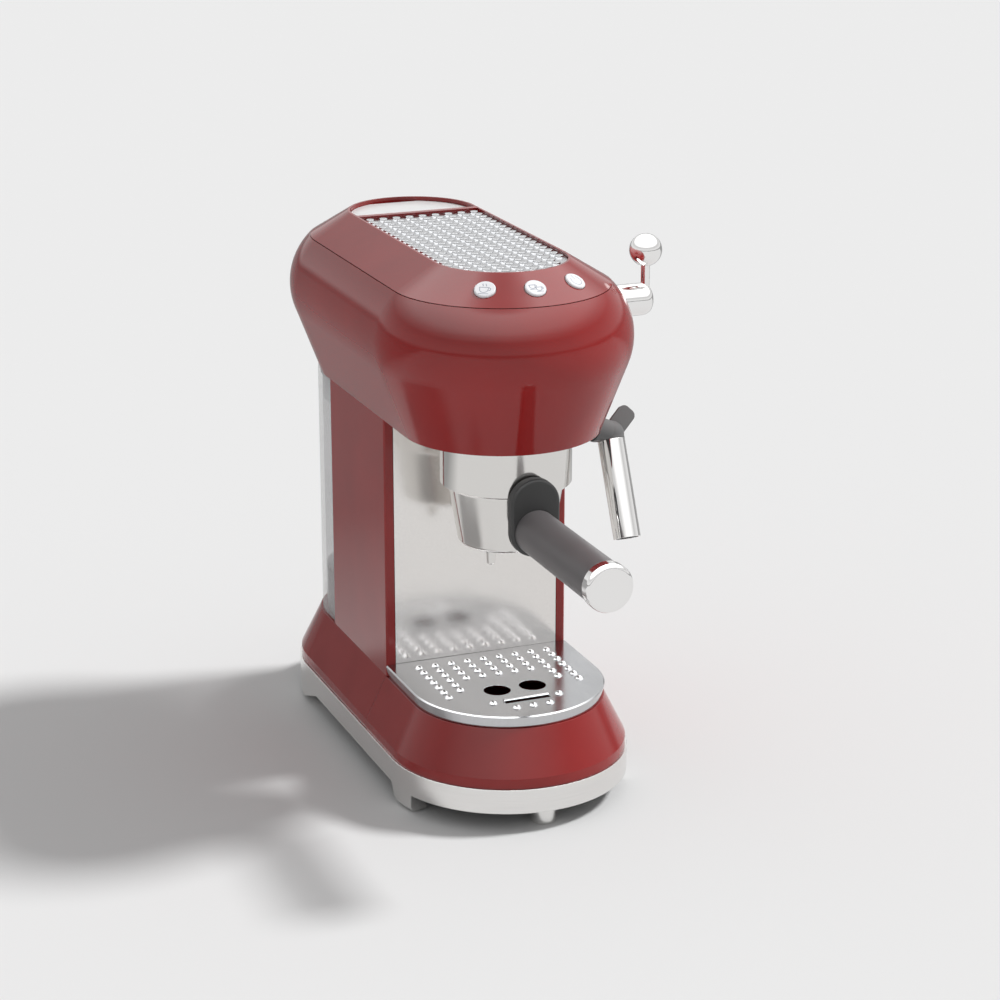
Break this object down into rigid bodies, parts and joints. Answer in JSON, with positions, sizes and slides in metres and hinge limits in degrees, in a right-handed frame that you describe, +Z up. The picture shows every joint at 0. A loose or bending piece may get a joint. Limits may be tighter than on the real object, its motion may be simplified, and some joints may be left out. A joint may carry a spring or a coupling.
{
  "type": "espresso machine",
  "caption": "Countertop espresso machine with a domed head on a slim column, slanted base, drip tray, filter holder, steam wand and rear water tank.",
  "frame": {"origin": "on the table, at the middle of the base", "axes": "+X to the machine's right seen from the front, +Y to its rear, +Z up"},
  "size_m": [0.1697, 0.3684, 0.3081],
  "materials": {
    "red_shell": "glossy deep red",
    "steel": "satin stainless steel",
    "chrome": "polished chrome",
    "grip_plastic": "fine satin dark grey",
    "dark_plastic": "matt black",
    "rubber": "matt dark grey rubber",
    "white_plastic": "satin white",
    "grey_plastic": "smoky grey",
    "clear_plastic": "clear, slightly smoky",
    "aluminium": "cast",
    "brass": "turned",
    "circuit": "circuit board"
  },
  "bodies": {
    "chassis": {"base_band": "steel", "foot_pads": "rubber", "stud_foot": "steel", "bottom_cover": "dark_plastic", "bottom_screws": "chrome", "base_deck": "dark_plastic", "rear_base_shell": "red_shell", "cord_gland": "dark_plastic", "column_shell": "red_shell", "front_panel": "steel", "support_frame": "steel", "tank_plinth": "grey_plastic", "tank_coupling": "dark_plastic", "coupling_seal": "rubber", "head_shell": "red_shell", "head_underside": "dark_plastic", "top_cover": "red_shell", "cup_warmer_plate": "steel", "fill_chute": "white_plastic", "switch_carrier": "dark_plastic", "push_switches": "dark_plastic", "control_board": "circuit", "group_head": "steel", "group_gasket": "rubber", "shower_screen": "steel", "screen_screw": "chrome", "boiler": "aluminium", "heating_element": "steel", "thermostats": "dark_plastic", "pump": "steel", "pump_mounts": "rubber", "pump_bracket": "steel", "suction_hose": "white_plastic", "pressure_pipe": "brass", "steam_valve": "brass", "steam_pipes": "brass", "wand_socket": "dark_plastic"},
    "drip_tray": {"drip_tray": "red_shell"},
    "drip_grid": {"drip_grid": "steel"},
    "filter_holder": {"portafilter_bowl": "chrome", "filter_basket": "steel", "pour_spout": "chrome", "handle_neck": "chrome", "handle_guard": "grip_plastic", "handle_grip": "grip_plastic", "handle_cap": "chrome"},
    "water_tank": {"water_tank": "clear_plastic", "tank_cover": "clear_plastic", "outlet_filter": "white_plastic"},
    "chute_lid": {"chute_lid": "white_plastic"},
    "button_one_cup": {"button_one_cup": "white_plastic"},
    "button_two_cup": {"button_two_cup": "white_plastic"},
    "button_power": {"button_power": "white_plastic"},
    "steam_lever": {"lever_spindle": "brass", "lever_hub": "chrome", "lever_stem": "chrome", "lever_ball": "chrome"},
    "steam_wand": {"wand_tube": "chrome", "wand_elbow": "rubber", "wand_sleeve": "chrome"}
  },
  "joints": [
    {"name": "drip_tray_slide", "type": "slide", "parent": "chassis", "child": "drip_tray", "axis": [0, -1, 0], "range_m": [0, 0.11]},
    {"name": "drip_grid_lift", "type": "slide", "parent": "drip_tray", "child": "drip_grid", "axis": [0, 0, 1], "range_m": [0, 0.03]},
    {"name": "filter_holder_turn", "type": "hinge", "parent": "chassis", "child": "filter_holder", "pos_m": [0, -0.0775, 0.17], "axis": [0, 0, 1], "range_deg": [-45, 0]},
    {"name": "water_tank_slide", "type": "slide", "parent": "chassis", "child": "water_tank", "axis": [0, 1, 0], "range_m": [0, 0.11]},
    {"name": "chute_lid_hinge", "type": "hinge", "parent": "chassis", "child": "chute_lid", "pos_m": [0, 0.0643, 0.2998], "axis": [1, 0, 0], "range_deg": [0, 95]},
    {"name": "button_one_cup_press", "type": "slide", "parent": "chassis", "child": "button_one_cup", "axis": [0.2753, 0.4493, -0.8499], "range_m": [0, 0.001], "stiffness_N_per_m": 400, "springref_m": -0.002},
    {"name": "button_two_cup_press", "type": "slide", "parent": "chassis", "child": "button_two_cup", "axis": [0, 0.527, -0.8499], "range_m": [0, 0.001], "stiffness_N_per_m": 400, "springref_m": -0.002},
    {"name": "button_power_press", "type": "slide", "parent": "chassis", "child": "button_power", "axis": [-0.2753, 0.4493, -0.8499], "range_m": [0, 0.001], "stiffness_N_per_m": 400, "springref_m": -0.002},
    {"name": "steam_lever_turn", "type": "hinge", "parent": "chassis", "child": "steam_lever", "pos_m": [0.08, -0.065, 0.2714], "axis": [1, 0, 0], "range_deg": [0, 80]},
    {"name": "steam_wand_swivel", "type": "hinge", "parent": "chassis", "child": "steam_wand", "pos_m": [0.0637, -0.0751, 0.1984], "axis": [-0.9135, 0, 0.4067], "range_deg": [-50, 30]}
  ]
}
